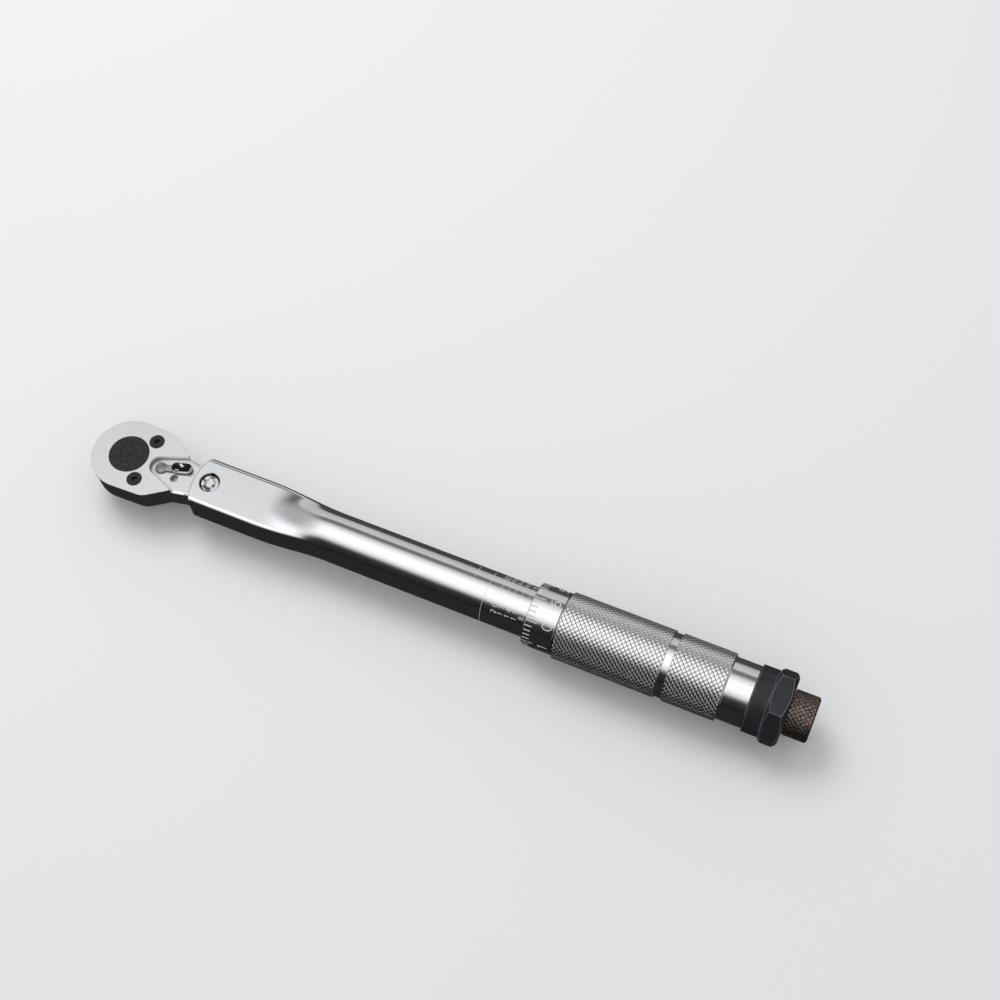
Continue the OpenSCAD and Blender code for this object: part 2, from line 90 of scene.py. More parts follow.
class Shader:
    """One material's node tree. Noise scales are in features per millimetre of the object."""

    def __init__(self, name, **values):
        self.mat = bpy.data.materials.new(name)
        self.mat.use_nodes = True
        self.tree = self.mat.node_tree
        self.tree.nodes.clear()
        out = self.add("ShaderNodeOutputMaterial")
        self.bsdf = self.add("ShaderNodeBsdfPrincipled")
        self.tree.links.new(self.bsdf.outputs["BSDF"], out.inputs["Surface"])
        self.place = self.add("ShaderNodeTexCoord").outputs["Object"]
        for key, value in values.items():
            self.put(self.bsdf.inputs[key.replace("_", " ")], value)

    def add(self, kind, **settings):
        node = self.tree.nodes.new(kind)
        for key, value in settings.items():
            setattr(node, key, value)
        return node

    def put(self, socket, value):
        if isinstance(value, bpy.types.NodeSocket):
            self.tree.links.new(value, socket)
        else:
            socket.default_value = value

    def math(self, operation, a, b=0.0):
        node = self.add("ShaderNodeMath", operation=operation)
        self.put(node.inputs[0], a)
        self.put(node.inputs[1], b)
        return node.outputs[0]

    def span(self, value, low, high, out_low, out_high):
        node = self.add("ShaderNodeMapRange")
        for key, v in zip(("Value", "From Min", "From Max", "To Min", "To Max"),
                          (value, low, high, out_low, out_high)):
            self.put(node.inputs[key], v)
        return node.outputs["Result"]

    def noise(self, scale, detail=3.0, stretch=(1, 1, 1), roughness=0.55):
        shift = self.add("ShaderNodeVectorMath", operation="MULTIPLY")
        self.put(shift.inputs[0], self.place)
        shift.inputs[1].default_value = [1000 * scale * s for s in stretch]
        node = self.add("ShaderNodeTexNoise")
        self.put(node.inputs["Vector"], shift.outputs[0])
        node.inputs["Scale"].default_value = 1.0
        node.inputs["Detail"].default_value = detail
        node.inputs["Roughness"].default_value = roughness
        return node.outputs["Fac"]

    def mix(self, factor, a, b):
        node = self.add("ShaderNodeMix", data_type="RGBA")
        self.put(node.inputs[0], factor)
        self.put(node.inputs[6], (*a, 1) if isinstance(a, tuple) else a)
        self.put(node.inputs[7], (*b, 1) if isinstance(b, tuple) else b)
        return node.outputs[2]

    def bump(self, height, strength, depth_mm=0.05, normal=None):
        node = self.add("ShaderNodeBump")
        node.inputs["Strength"].default_value = strength
        node.inputs["Distance"].default_value = depth_mm * MM
        self.put(node.inputs["Height"], height)
        if normal is not None:
            self.put(node.inputs["Normal"], normal)
        return node.outputs["Normal"]

    def edge_wear_and_shade(self, radius_mm, patches=0.8):
        """1 along convex and concave edges, 0 on open faces, broken up by noise: a mask for edge
        wear and for painted shade.
        """
        bevel = self.add("ShaderNodeBevel", samples=4)
        bevel.inputs["Radius"].default_value = radius_mm * MM
        facing = self.add("ShaderNodeVectorMath", operation="DOT_PRODUCT")
        self.put(facing.inputs[0], bevel.outputs["Normal"])
        self.put(facing.inputs[1], self.add("ShaderNodeNewGeometry").outputs["Normal"])
        edge = self.span(facing.outputs["Value"], 0.80, 0.985, 1.0, 0.0)
        return self.math("MULTIPLY", edge, self.span(self.noise(patches), 0.35, 0.6, 0.25, 1.0))

    def crevice_shade(self, reach_mm, low=0.35, high=0.85):
        """1 in narrow gaps and inner corners, 0 on open faces: a mask for painted shade."""
        near = self.add("ShaderNodeAmbientOcclusion", samples=8)
        near.inputs["Distance"].default_value = reach_mm * MM
        return self.span(near.outputs["AO"], low, high, 1.0, 0.0)

    def radius(self):
        """Distance from the wrench's long axis, in mm."""
        parts = self.add("ShaderNodeSeparateXYZ")
        self.put(parts.inputs[0], self.place)
        square = [self.math("POWER", parts.outputs[i], 2.0) for i in (1, 2)]
        length = self.math("SQRT", self.math("ADD", *square))
        return self.math("MULTIPLY", length, 1000.0)

    def done(self, **values):
        for key, value in values.items():
            self.put(self.bsdf.inputs[key.replace("_", " ")], value)
        return self.mat


def satin_chrome():
    """Satin plate: fine grain, painted shade along its edges, and painted shade in its corners and
    gaps, tinted brown for the unplated metal inside the dimples.
    """
    s = Shader("satin_chrome", Metallic=1.0)
    cloud, grain = s.noise(0.12, 4), s.noise(5.5, 2)
    brushed = s.noise(1.6, 3, (0.22, 1.5, 1.5))
    rough = s.math("ADD", s.span(grain, 0.3, 0.7, 0.20, 0.27),
                   s.span(cloud, 0.35, 0.65, -0.02, 0.04))
    base = s.mix(cloud, (0.91, 0.912, 0.915), (0.97, 0.972, 0.975))
    # painted shade: dark lines along the edges
    base = s.mix(s.math("MULTIPLY", s.edge_wear_and_shade(0.3), 0.75), base, (0.13, 0.125, 0.13))
    # painted shade: dark brown in gaps and inner corners, brown also for the unplated metal in the
    # dimples
    base = s.mix(s.math("MULTIPLY", s.crevice_shade(2.2, 0.3, 0.85), 0.85), base, (0.12, 0.10, 0.085))
    return s.done(Base_Color=base, Roughness=rough,
                  Normal=s.bump(brushed, 0.05, 0.02, s.bump(grain, 0.10, 0.012)))


def bright_chrome():
    """Bright plate with faint hairlines round the tube, smears, painted shade along its edges and
    painted shade in its gaps.
    """
    s = Shader("bright_chrome", Metallic=1.0)
    cloud, hair = s.noise(0.09, 5), s.noise(1.0, 4, (0.04, 7, 7))
    smear = s.noise(0.35, 4, (0.5, 1, 1))
    rough = s.math("ADD", s.span(smear, 0.35, 0.7, 0.06, 0.14),
                   s.span(hair, 0.5, 0.8, 0.0, 0.05))
    base = s.mix(cloud, (0.84, 0.85, 0.87), (0.90, 0.905, 0.91))
    # painted shade: dark lines along the edges
    base = s.mix(s.math("MULTIPLY", s.edge_wear_and_shade(0.24), 0.7), base, (0.12, 0.11, 0.11))
    # painted shade: darker in gaps and inner corners
    base = s.mix(s.math("MULTIPLY", s.crevice_shade(0.8), 0.8), base, (0.09, 0.08, 0.075))
    return s.done(Base_Color=base, Roughness=rough, Normal=s.bump(hair, 0.03, 0.02))


def polished_lever():
    """Polished chrome, with a painted black reflection of the dark above it on the tab's flat top,
    broken by noise into painted highlights, and painted shade in its gaps.
    """
    s = Shader("polished_lever", Metallic=1.0)
    up = s.add("ShaderNodeSeparateXYZ")
    s.put(up.inputs[0], s.add("ShaderNodeNewGeometry").outputs["Normal"])
    parts = s.add("ShaderNodeSeparateXYZ")
    s.put(parts.inputs[0], s.place)
    high = s.span(parts.outputs[2], 3.0 * MM, 3.4 * MM, 0.0, 1.0)
    # painted highlights: where this noise is high, the painted black reflection gives way to bright
    # chrome
    highlight_breakup = s.span(s.noise(0.42, 1), 0.52, 0.58, 0.0, 1.0)
    level = s.span(up.outputs[2], 0.25, 0.55, 0.0, 1.0)
    # painted reflection: black on the tab's upward-facing top
    dark = s.math("MULTIPLY", high, s.math("MULTIPLY", level, s.span(highlight_breakup, 0.0, 1.0, 1.0, 0.25)))
    hub = s.mix(s.span(s.noise(0.8, 3), 0.4, 0.6, 0.0, 1.0), (0.30, 0.30, 0.31), (0.55, 0.55, 0.56))
    base = s.mix(dark, s.mix(high, hub, (0.85, 0.85, 0.86)), (0.02, 0.018, 0.018))
    # painted shade: darker in gaps and inner corners
    base = s.mix(s.math("MULTIPLY", s.crevice_shade(0.9), 0.9), base, (0.05, 0.045, 0.04))
    return s.done(Base_Color=base, Roughness=s.span(high, 0.0, 1.0, 0.24, 0.07),
                  Normal=s.bump(s.noise(3, 2), 0.06, 0.01))


def pin_chrome():
    """The pin's ground end: painted bright facets between painted brown-black reflections, and
    painted shade in its recesses.
    """
    s = Shader("pin_chrome", Metallic=1.0)
    # painted reflection: brown-black and bright patches
    reflection_patches = s.span(s.noise(0.33, 2), 0.44, 0.52, 0.0, 1.0)
    base = s.mix(reflection_patches, (0.20, 0.15, 0.12), (0.90, 0.89, 0.88))
    # painted shade: brown-black in gaps and inner corners
    base = s.mix(s.math("MULTIPLY", s.crevice_shade(1.2, 0.3, 0.8), 0.9), base, (0.10, 0.07, 0.05))
    return s.done(Base_Color=base, Roughness=0.10, Normal=s.bump(s.noise(2, 3), 0.10, 0.02))


def knurl_chrome():
    """Bright tips, and valleys darkened by painted shade and by dirt."""
    s = Shader("knurl_chrome", Metallic=1.0)
    depth = s.span(s.radius(), KNURL_ROOT - 0.01, KNURL_ROOT + 0.11, 0.0, 1.0)
    # painted shade with dirt: darker valleys
    soil_and_shade = s.math("MULTIPLY", depth, s.span(s.noise(0.5, 4), 0.3, 0.7, 0.85, 1.0))
    return s.done(Base_Color=s.mix(soil_and_shade, (0.42, 0.415, 0.42), (0.98, 0.98, 0.985)),
                  Roughness=s.span(soil_and_shade, 0.0, 1.0, 0.40, 0.13),
                  Normal=s.bump(s.noise(6, 2), 0.08, 0.01))


def black_oxide():
    """Matt black oxide, mottled and grainy, a little rubbed along its edges."""
    s = Shader("black_oxide", Metallic=1.0)
    mottle, grain = s.noise(1.0, 6, roughness=0.62), s.noise(7, 2)
    edge = s.edge_wear_and_shade(0.18)
    base = s.mix(s.span(mottle, 0.38, 0.64, 0.0, 1.0),
                 (0.040, 0.040, 0.043), (0.092, 0.092, 0.098))
    return s.done(Base_Color=s.mix(s.math("MULTIPLY", edge, 0.35), base, (0.30, 0.30, 0.31)),
                  Roughness=s.span(mottle, 0.3, 0.7, 0.34, 0.55),
                  Normal=s.bump(grain, 0.22, 0.012, s.bump(mottle, 0.10, 0.03)))


def blued_steel():
    """Blued black oxide, worn to bright steel along the edges."""
    s = Shader("blued_steel", Specular_IOR_Level=0.42)
    cloud, grain = s.noise(0.22, 4), s.noise(5, 3, (0.6, 1, 1))
    edge = s.edge_wear_and_shade(0.55)
    base = s.mix(s.span(cloud, 0.35, 0.65, 0.0, 1.0),
                 (0.011, 0.0115, 0.0135), (0.017, 0.019, 0.024))
    return s.done(Base_Color=s.mix(edge, base, (0.55, 0.55, 0.55)), Metallic=edge,
                  Roughness=s.span(cloud, 0.3, 0.7, 0.34, 0.46),
                  Normal=s.bump(grain, 0.12, 0.012))


def bronze_oxide():
    """Dark brown-black valleys under knurl tips that are rubbed to a dull bronze."""
    s = Shader("bronze_oxide", Metallic=1.0)
    height = s.span(s.radius(), KNOB_R - 0.36, KNOB_R - 0.10, 0.0, 1.0)
    rub = s.math("MULTIPLY", height, s.span(s.noise(1.3, 4), 0.40, 0.62, 0.25, 1.0))
    edge = s.edge_wear_and_shade(0.25)
    base = s.mix(rub, (0.022, 0.018, 0.017), (0.42, 0.335, 0.29))
    return s.done(Base_Color=s.mix(s.math("MULTIPLY", edge, 0.55), base, (0.50, 0.42, 0.36)),
                  Roughness=s.span(s.noise(1.5, 4), 0.3, 0.7, 0.32, 0.5),
                  Normal=s.bump(s.noise(6, 2), 0.15, 0.01))


def plain_metal(name, dark, light, low, high, stretch=(1, 1, 1), lines=0.12):
    """A machined metal between two colours and two roughnesses, for the pieces inside."""
    s = Shader(name, Metallic=1.0)
    cloud, cut = s.noise(0.4, 4), s.noise(2.5, 3, stretch)
    return s.done(Base_Color=s.mix(s.span(cloud, 0.3, 0.7, 0.0, 1.0), dark, light),
                  Roughness=s.span(cut, 0.3, 0.7, low, high),
                  Normal=s.bump(cut, lines, 0.015))


def etched():
    """The frosted, nearly white surface of the etched marks."""
    s = Shader("etched_mark", Metallic=0.25)
    grain = s.noise(9, 3)
    return s.done(Base_Color=s.mix(grain, (0.50, 0.50, 0.52), (0.66, 0.66, 0.67)),
                  Roughness=s.span(grain, 0.3, 0.7, 0.55, 0.75), Normal=s.bump(grain, 0.3, 0.01))


SATIN, CHROME, KNURL = satin_chrome(), bright_chrome(), knurl_chrome()
LEVER, PIN = polished_lever(), pin_chrome()
BLACK, BLUED, BRONZE = black_oxide(), blued_steel(), bronze_oxide()
ETCH = etched()
STEEL = plain_metal("ground_steel", (0.42, 0.42, 0.43), (0.60, 0.60, 0.61), 0.22, 0.40,
                    stretch=(0.3, 1.4, 1.4))
SPRING = plain_metal("spring_steel", (0.16, 0.16, 0.17), (0.30, 0.30, 0.32), 0.26, 0.42)
BALL = plain_metal("ball_steel", (0.70, 0.71, 0.72), (0.82, 0.82, 0.83), 0.06, 0.12,
                   lines=0.02)
BRASS = plain_metal("turned_brass", (0.58, 0.38, 0.15), (0.76, 0.55, 0.26), 0.22, 0.38)


# ---------------------------------------------------------------- mesh tools

def mesh_object(name, verts, faces, materials, paint=None, flat=None):
    """A mesh object from points in mm. paint and flat are sets of face numbers: those that
    get the second material, and those that are shaded flat."""
    mesh = bpy.data.meshes.new(name)
    mesh.from_pydata([(x * MM, y * MM, z * MM) for x, y, z in verts], [], faces)
    for m in materials:
        mesh.materials.append(m)
    smooth = [not flat or i not in flat for i in range(len(faces))]
    mesh.polygons.foreach_set("use_smooth", smooth)
    if paint:
        painted = [int(i in paint) for i in range(len(faces))]
        mesh.polygons.foreach_set("material_index", painted)
    obj = bpy.data.objects.new(name, mesh)
    bpy.context.scene.collection.objects.link(obj)
    bm = bmesh.new()
    bm.from_mesh(mesh)
    bmesh.ops.recalc_face_normals(bm, faces=bm.faces)
    bm.to_mesh(mesh)
    bm.free()
    return obj


def even_normals(obj):
    """Shades large flat faces evenly up to their rounded edges."""
    obj.modifiers.new("even_normals", "WEIGHTED_NORMAL").keep_sharp = True
    return obj


def combine(obj, other, operation="DIFFERENCE"):
    """Changes obj by a boolean with other, and removes other."""
    step = obj.modifiers.new("combine", "BOOLEAN")
    step.operation, step.solver, step.object = operation, "EXACT", other
    bpy.context.view_layer.update()
    result = obj.evaluated_get(bpy.context.evaluated_depsgraph_get())
    made = bpy.data.meshes.new_from_object(result)
    obj.modifiers.clear()
    obj.data = made
    bpy.data.objects.remove(other)


def rounded(points, segments=3):
    """A polyline of (a, b, radius) with each corner rounded."""
    out = []
    for i, (a, b, r) in enumerate(points):
        if r <= 0 or i in (0, len(points) - 1):
            out.append((a, b))
            continue
        here = Vector((a, b))
        back = Vector(points[i - 1][:2]) - here
        on = Vector(points[i + 1][:2]) - here
        r = min(r, back.length * 0.48, on.length * 0.48)
        start, end = here + back.normalized() * r, here + on.normalized() * r
        for k in range(segments + 1):
            t = k / segments
            p = start * (1 - t) ** 2 + here * 2 * t * (1 - t) + end * t * t
            out.append((p.x, p.y))
    return out


def spin(name, rows, count, materials, closed=False, painted=()):
    """Turns rows of (x, r) about the X axis. r of 0 is a point on the axis. A closed profile
    ends where it began. Rows outside the sleeve's bore that lie within a painted range of x
    get the second material."""
    turns = [TAU * j / count for j in range(count)]
    verts, faces, paint, rings = [], [], set(), []
    for x, r in rows:
        rings.append((len(verts), x, r))
        if r < 1e-6:
            verts.append((x, 0, 0))
        else:
            verts += [(x, r * math.cos(a), r * math.sin(a)) for a in turns]
    bands = list(zip(rings, rings[1:]))
    if closed:
        bands.append((rings[-1], rings[0]))
    for (s1, x1, r1), (s2, x2, r2) in bands:
        inside = [low <= min(x1, x2) and max(x1, x2) <= high for low, high in painted]
        if any(inside) and min(r1, r2) > SLEEVE_BORE + 0.5:
            paint.update(range(len(faces), len(faces) + count))
        for j in range(count):
            n = (j + 1) % count
            if r1 < 1e-6 or r2 < 1e-6:
                ring, pole = (s2, s1) if r1 < 1e-6 else (s1, s2)
                faces.append((ring + j, ring + n, pole))
            else:
                faces.append((s1 + j, s1 + n, s2 + n, s2 + j))
    return mesh_object(name, verts, faces, materials, paint)


def knurl(obj, x1, x2, root, tip, starts, period):
    """Adds a diamond knurl to a turned piece: low domed diamonds that stand on its root
    surface, as two families of crossing grooves leave them. Those at x1 and x2 are cut off."""
    rows = math.floor((x2 - x1) / period * 2)
    start = (x1 + x2) / 2 - rows * period / 4
    foot, corners = root - 0.03, len(DIAMOND_CORNERS)
    verts, faces = [], []
    for i in range(rows + 1):
        for j in range(starts):
            x, a = start + i * period / 2, TAU * (j + 0.5 * (i % 2)) / starts
            first = len(verts)
            for share, rise in DIAMOND:
                r = foot + (tip - foot) * rise
                for reach, along, turned in DIAMOND_CORNERS:
                    turn = a + share * reach * turned * math.pi / starts
                    place = min(max(x + share * reach * along * period / 2, x1), x2)
                    verts.append((place, r * math.cos(turn), r * math.sin(turn)))
            for low in range(first, len(verts) - corners, corners):
                for k in range(corners):
                    n = (k + 1) % corners
                    faces.append((low + k, low + n, low + corners + n, low + corners + k))
            faces.append(tuple(reversed(range(first, first + corners))))
            faces.append(tuple(range(len(verts) - corners, len(verts))))
    painted = set(range(len(faces))) if len(obj.data.materials) > 1 else None
    diamonds = mesh_object("diamonds", verts, faces, list(obj.data.materials), painted)
    diamonds.data.set_sharp_from_angle(angle=math.radians(35))
    whole = bmesh.new()
    whole.from_mesh(obj.data)
    whole.from_mesh(diamonds.data)
    whole.to_mesh(obj.data)
    whole.free()
    bpy.data.objects.remove(diamonds)


def stood_up(obj, x):
    """Turns a spun mesh so that its own axis stands vertical at x."""
    turn = Matrix.Translation((x * MM, 0, 0)) @ Matrix.Rotation(-math.pi / 2, 4, "Y")
    obj.data.transform(turn)
    return obj


def dress(node, material, width=0.1, segments=2):
    """Carries a CAD node over with its own material and edges softened by width mm."""
    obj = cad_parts[node]
    if not obj.material_slots:
        obj.data.materials.append(material)
    for place in obj.material_slots:
        place.link = "OBJECT"
        place.material = material
    obj.modifiers.new("weld", "WELD").merge_threshold = 2e-6
    if width:
        flat = obj.modifiers.new("planes", "DECIMATE")
        flat.decimate_type, flat.angle_limit = "DISSOLVE", math.radians(0.4)
        soft = obj.modifiers.new("edges", "BEVEL")
        soft.width, soft.segments = width * MM, segments
        soft.limit_method, soft.angle_limit = "ANGLE", math.radians(30)
        soft.miter_outer = "MITER_ARC"
    even_normals(obj)


def finish_piece(obj, body, material, *nodes):
    """Puts a new piece on its body, and in the place of its CAD nodes."""
    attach(obj, body)
    if nodes:
        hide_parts(*nodes)


# ---------------------------------------------------------------- tube

def oblong_radius(angle, half_w, half_h, corner):
    """Distance to a rounded rectangle's outline at a polar angle, y across and z up."""
    c, s = abs(math.cos(angle)), abs(math.sin(angle))
    if c > 1e-9 and half_w / c * s <= half_h - corner:
        return half_w / c
    if s > 1e-9 and half_h / s * c <= half_w - corner:
        return half_h / s
    cy, cz = half_w - corner, half_h - corner
    along = c * cy + s * cz
    return along + math.sqrt(max(0.0, along * along - cy * cy - cz * cz + corner * corner))


def tube_angles():
    """Polar angles, close together round the four corners of the flat part."""
    side, corner, top = 2.0, 0.75, 2.45     # steps in degrees
    quarter, a = [], 0.0
    while a < 90 - 1e-6:
        quarter.append(a)
        a += corner if 20 <= a < 41 else side if a < 19.9 else top
    quarter = [q * 90 / a for q in quarter]
    half = quarter + [180 - q for q in reversed(quarter[1:])]
    half.insert(len(quarter), 90.0)
    return [math.radians(q) for q in half] + [math.radians(q + 180) for q in half]


def build_tube():
    """The tube's shell from sections (x, inset): a rounded oblong that turns into a circle.
    The front edge bows round the pivot, and that bow fades out along the flat part."""
    angles = tube_angles()
    lip = [(0.0, 0.25), (0.05, 0.12), (0.14, 0.04), (0.30, 0.0)]
    stops, bow_length, blend = [0.6, 1.2, 2.0, 3.0, 4.2, 8, 12, 16, 20, 24], 4.2, 36
    outer = [(TUBE_FRONT + dx, inset) for dx, inset in lip]
    outer += [(TUBE_FRONT + dx, 0.0) for dx in stops]
    outer += [(FLAT_END + (ROUND_START - FLAT_END) * i / blend, 0.0) for i in range(blend + 1)]
    outer += [(x, 0.0) for x in (95, 110, 125, 140, 155, 170, 185, 200, TUBE_END - 0.3)]
    outer += [(TUBE_END - dx, inset) for dx, inset in reversed(lip[:-1])]
    inner = [(x, TUBE_WALL - inset) for x, inset in outer]

    def section(x, inset):
        share = min(1.0, max(0.0, (x - FLAT_END) / (ROUND_START - FLAT_END)))
        share = share * share * (3 - 2 * share)
        fade = max(0.0, 1 - (x - TUBE_FRONT) / bow_length)
        ring = []
        for a in angles:
            flat = oblong_radius(a, FLAT_HALF_W - inset, FLAT_HALF_H - inset,
                                 FLAT_CORNER - inset * 0.6)
            r = flat * (1 - share) + (TUBE_R - inset) * share
            y, z = r * math.cos(a), r * math.sin(a)
            bow = BOW_R - math.sqrt(BOW_R ** 2 - min(abs(y), FLAT_HALF_W) ** 2)
            ring.append((x + bow * fade, y, z))
        return ring

    rings = [section(x, i) for x, i in outer] + [section(x, i) for x, i in reversed(inner)]
    n, verts, faces = len(angles), [p for ring in rings for p in ring], []
    for i in range(len(rings)):
        a, b = i * n, (i + 1) % len(rings) * n
        faces += [(a + j, a + (j + 1) % n, b + (j + 1) % n, b + j) for j in range(n)]
    tube = mesh_object("tube_body", verts, faces, [CHROME])
    # the pivot pin's hole, with a small chamfer at each flat
    mouth, deep = FLAT_HALF_H, FLAT_HALF_H - 0.24
    hole = rounded([(-7, 0, 0), (-7, PIVOT_R + 1.0, 0), (-mouth, PIVOT_R + 0.22, 0),
                    (-deep, PIVOT_R, 0), (deep, PIVOT_R, 0), (mouth, PIVOT_R + 0.22, 0),
                    (7, PIVOT_R + 1.0, 0), (7, 0, 0)])
    combine(tube, stood_up(spin("pivot_hole", hole, 72, [CHROME]), PIVOT_X))
    tube.data.set_sharp_from_angle(angle=math.radians(35))
    finish_piece(even_normals(tube), "tube", CHROME, "tube")


# ---------------------------------------------------------------- scale marks

def arc(cx, cy, rx, ry, start, end, steps=12):
    """Points of an elliptical arc between two angles in degrees."""
    turns = [math.radians(start + (end - start) * i / steps) for i in range(steps + 1)]
    return [(cx + rx * math.cos(a), cy + ry * math.sin(a)) for a in turns]


# numerals as pen strokes in a box 0.6 wide and 1 high
NUMERALS = {
    "0": [arc(0.3, 0.5, 0.28, 0.5, 90, 450, 22)],
    "1": [[(0.12, 0.80), (0.34, 1.0), (0.34, 0.0)]],
    "2": [arc(0.3, 0.72, 0.26, 0.28, 165, -35, 12) + [(0.04, 0.0), (0.58, 0.0)]],
    "3": [arc(0.28, 0.75, 0.24, 0.25, 150, -80, 10)
          + arc(0.28, 0.27, 0.28, 0.27, 80, -150, 12)],
    "4": [[(0.60, 0.28), (0.02, 0.28), (0.42, 1.0), (0.42, 0.0)]],
    "5": [[(0.54, 1.0), (0.12, 1.0), (0.07, 0.56)]
          + arc(0.29, 0.32, 0.28, 0.32, 125, -150, 14)],
    "6": [arc(0.38, 0.5, 0.35, 0.5, 75, 180, 8) + arc(0.30, 0.30, 0.27, 0.30, 180, 540, 18)],
    "7": [[(0.03, 1.0), (0.58, 1.0), (0.22, 0.0)]],
    "8": [arc(0.3, 0.76, 0.22, 0.24, 270, 630, 16), arc(0.3, 0.27, 0.27, 0.27, 90, 450, 18)],
}


class Marks:
    """Etched marks on a round surface, as very thin ribbons that follow it."""

    PROUD, SUNK, STEP = 0.018, -0.03, 0.35

    def __init__(self, radius):
        self.radius = radius
        self.verts, self.faces = [], []

    def stroke(self, x, angle, points, width):
        """A line through points (across, up) in mm from x and an angle in degrees: across
        runs round towards +Y, up runs towards the head."""
        fine = [points[0]]
        for a, b in zip(points, points[1:]):
            n = max(1, math.ceil(math.dist(a, b) / self.STEP))
            fine += [(a[0] + (b[0] - a[0]) * k / n, a[1] + (b[1] - a[1]) * k / n)
                     for k in range(1, n + 1)]
        loop = math.dist(fine[0], fine[-1]) < 1e-6
        if loop:
            fine = fine[:-1]
        n, start = len(fine), len(self.verts)
        for i, (px, py) in enumerate(fine):
            before = fine[i - 1] if i or loop else fine[i]
            after = fine[(i + 1) % n] if i < n - 1 or loop else fine[i]
            d1 = Vector((px - before[0], py - before[1]))
            d2 = Vector((after[0] - px, after[1] - py))
            d1 = d1.normalized() if d1.length > 1e-9 else d2.normalized()
            d2 = d2.normalized() if d2.length > 1e-9 else d1
            way = (d1 + d2).normalized()
            reach = width / 2 / max(0.55, way.dot(d1))
            for side, lift in ((1, self.PROUD), (-1, self.PROUD), (-1, self.SUNK), (1, self.SUNK)):
                s, t = px - side * reach * way.y, py + side * reach * way.x
                a, r = math.radians(angle) - s / self.radius, self.radius + lift
                self.verts.append((x - t, r * math.cos(a), r * math.sin(a)))
        for i in range(n if loop else n - 1):
            a, b = start + 4 * i, start + 4 * ((i + 1) % n)
            self.faces += [(a + k, a + (k + 1) % 4, b + (k + 1) % 4, b + k) for k in range(4)]
        if not loop:
            self.faces += [tuple(start + k for k in range(4)),
                           tuple(start + 4 * (n - 1) + k for k in (3, 2, 1, 0))]

    def number(self, x, angle, text, height, width, wide=1.0, gap=1.26):
        """Numerals centred on x and the angle. wide stretches them sideways, and gap is the
        pitch of two digits in heights."""
        for k, char in enumerate(text):
            shift = (k - (len(text) - 1) / 2) * height * gap
            for line in NUMERALS[char]:
                points = [(shift + (p - 0.3) * height * wide, (q - 0.5) * height) for p, q in line]
                self.stroke(x, angle, points, width)

    def build(self, name, body):
        flat = set(range(len(self.faces)))
        finish_piece(mesh_object(name, self.verts, self.faces, [ETCH], flat=flat), body, ETCH)


def build_tube_scale():
    """Five rows of the main scale between two columns of numbers, the reading line and two
    border rings."""
    m = Marks(TUBE_R)
    degree = math.radians(TUBE_R)       # one degree round the tube, in mm
    for k in range(5):
        x = RING_X - 1.8 - SCALE_PITCH * k
        m.stroke(x, 88.5, [(0, 0), (36.5 * degree, 0)], 0.15)
        m.number(x, 45, str(6 + 4 * k), 1.8, 0.24, 0.95, 1.1)
        m.number(x, 132.5, str(8 + 3 * k), 1.8, 0.24, 0.95)
    m.stroke(RING_X + 1, 89, [(0, 0), (0, 17.4)], 0.13)
    for x, angle, low, high in ((144.0, 89, -111, 44), (138.2, 60, -20, 20)):
        m.stroke(x, angle, [(low * degree, 0), (high * degree, 0)], 0.13)
    m.build("tube_scale", "tube")


def build_ring_scale():
    """Forty ticks round the handle's front ring. Each fifth one is long, and all of those but
    the one underneath are numbered, 0 to 6."""
    m = Marks(RING_R)
    ticks, bare = 40, 20
    for i in range(ticks):
        angle = 126.5 + i * 360 / ticks
        long = i % 5 == 0
        length, width = (4.0, 0.34) if long else (2.5, 0.42)
        m.stroke(RING_X + 0.35, angle, [(0, 0), (0, -length)], width)
        if long and i != bare:
            m.number(168.3, angle, str(i // 5 - (i > bare)), 3.25, 0.36, 1.17)
    m.build("ring_scale", "handle")


# ---------------------------------------------------------------- handle

def build_handle():
    """The turned sleeve with its scale ring, and a knurl on each side of the smooth band."""
    groove_r = RING_R - 0.55
    front = [(RING_X, SLEEVE_BORE, 0), (RING_X, RING_R, 0.38), (GROOVE_X, RING_R, 0.16),
             (GROOVE_X + 0.1, groove_r, 0.08), (GRIP_X - 0.1, groove_r, 0.08),
             (GRIP_X, KNURL_ROOT, 0.05), (GRIP_X + 0.1, KNURL_ROOT, 0)]
    band = [(BAND_X[0], KNURL_ROOT, 0), (BAND_X[0] + 0.1, BAND_R, 0.05),
            (BAND_X[1] - 0.1, BAND_R, 0.05), (BAND_X[1], KNURL_ROOT, 0)]
    rear = [(CUFF_X - 0.05, KNURL_ROOT, 0), (CUFF_X + 0.4, CUFF_R, 0.12),
            (SLEEVE_END, CUFF_R, 0.3), (SLEEVE_END, SPIGOT_BORE, 0.1), (SPIGOT_X, SPIGOT_BORE, 0),
            (SPIGOT_X, SLEEVE_BORE, 0), (RING_X + 0.01, SLEEVE_BORE, 0)]
    rows = rounded(front, 4) + rounded(band) + rounded(rear, 4)
    spans = ((GRIP_X, BAND_X[0]), (BAND_X[1], CUFF_X))
    grip = spin("handle_grip", rows, 170, [CHROME, KNURL], closed=True, painted=spans)
    grip.data.set_sharp_from_angle(angle=math.radians(40))
    for x1, x2 in spans:
        knurl(grip, x1, x2, KNURL_ROOT, GRIP_R, *GRIP_KNURL)
    finish_piece(even_normals(grip), "handle", CHROME, "handle_sleeve")


